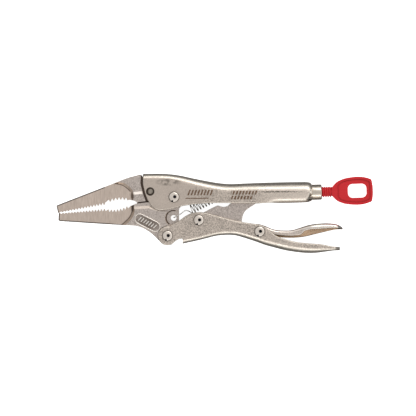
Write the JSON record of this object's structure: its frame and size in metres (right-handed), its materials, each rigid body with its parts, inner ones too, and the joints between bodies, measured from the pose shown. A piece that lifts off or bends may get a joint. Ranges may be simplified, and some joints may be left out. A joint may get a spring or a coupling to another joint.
{
  "type": "locking pliers",
  "caption": "Long-nose locking pliers: folded steel handles, forged toothed jaws, toggle link, release lever, return spring and a key-head adjusting screw.",
  "frame": {"origin": "on the main pivot's axis, at the flat rear face of its rivet, the plane the tool rests on when laid on its side", "axes": "+X along the tool from the jaws to the knob, +Y from the lower handle to the upper handle, +Z through the tool's thickness"},
  "size_m": [0.1743, 0.0438, 0.0144],
  "materials": {
    "handle_sheet": "fine blasted sheet steel with satin nickel plating, brighter along its bends",
    "forged_jaw": "satin nickel over a forging, with ground nose faces",
    "forged_link": "fine blasted forging with satin nickel plating",
    "lever_sheet": "smooth bright nickel plating over sheet steel",
    "rivet_steel": "smooth nickel plating",
    "dark_pin": "dull plated steel, sunk and shaded",
    "bush_steel": "bright plated turned steel",
    "spring_wire": "bright drawn wire",
    "red_coat": "smooth semi-matte red powder coat"
  },
  "bodies": {
    "upper_frame": {"upper_handle": "handle_sheet", "fixed_jaw": "forged_jaw", "fixed_jaw_pin": "dark_pin", "main_pivot_rivet": "rivet_steel", "handle_nut": "bush_steel", "tension_spring": "spring_wire"},
    "moving_jaw_body": {"moving_jaw": "forged_jaw", "jaw_handle_rivet": "rivet_steel"},
    "lower_handle_body": {"lower_handle": "handle_sheet", "link_rivet": "rivet_steel", "lever_rivet": "rivet_steel"},
    "toggle_link_body": {"toggle_link": "forged_link"},
    "release_lever_body": {"release_lever": "lever_sheet"},
    "screw_rod_body": {"adjusting_screw": "red_coat"},
    "screw_key_body": {"screw_knob": "red_coat"}
  },
  "joints": [
    {"name": "jaw_open", "type": "hinge", "parent": "upper_frame", "child": "moving_jaw_body", "pos_m": [0, 0, 0.0072], "axis": [0, 0, 1], "range_deg": [0, 40], "deforming": ["tension_spring"]},
    {"name": "handle_swing", "type": "hinge", "parent": "moving_jaw_body", "child": "lower_handle_body", "pos_m": [-0.00355, -0.0213, 0.0072], "axis": [0, 0, 1], "range_deg": [-92.4, 0]},
    {"name": "link_swing", "type": "hinge", "parent": "lower_handle_body", "child": "toggle_link_body", "pos_m": [0.01366, -0.01267, 0.0072], "axis": [0, 0, 1], "range_deg": [0, 90.4]},
    {"name": "lever_press", "type": "hinge", "parent": "lower_handle_body", "child": "release_lever_body", "pos_m": [0.0471, -0.01894, 0.0072], "axis": [0, 0, -1], "range_deg": [0, 7]},
    {"name": "screw_travel", "type": "slide", "parent": "upper_frame", "child": "screw_rod_body", "axis": [0.9994, 0.0343, 0], "range_m": [0, 0.01531]},
    {"name": "screw_turn", "type": "hinge", "parent": "screw_rod_body", "child": "screw_key_body", "pos_m": [0.0785, 0.00267, 0.0072], "axis": [0.9994, 0.0343, 0], "range_deg": [0, 4410]}
  ],
  "couplings": [
    {"joint": "handle_swing", "follows": "jaw_open", "ratio": -2.31},
    {"joint": "link_swing", "follows": "jaw_open", "ratio": 2.26},
    {"joint": "screw_travel", "follows": "screw_turn", "m_per_rad": 0.00019894}
  ]
}
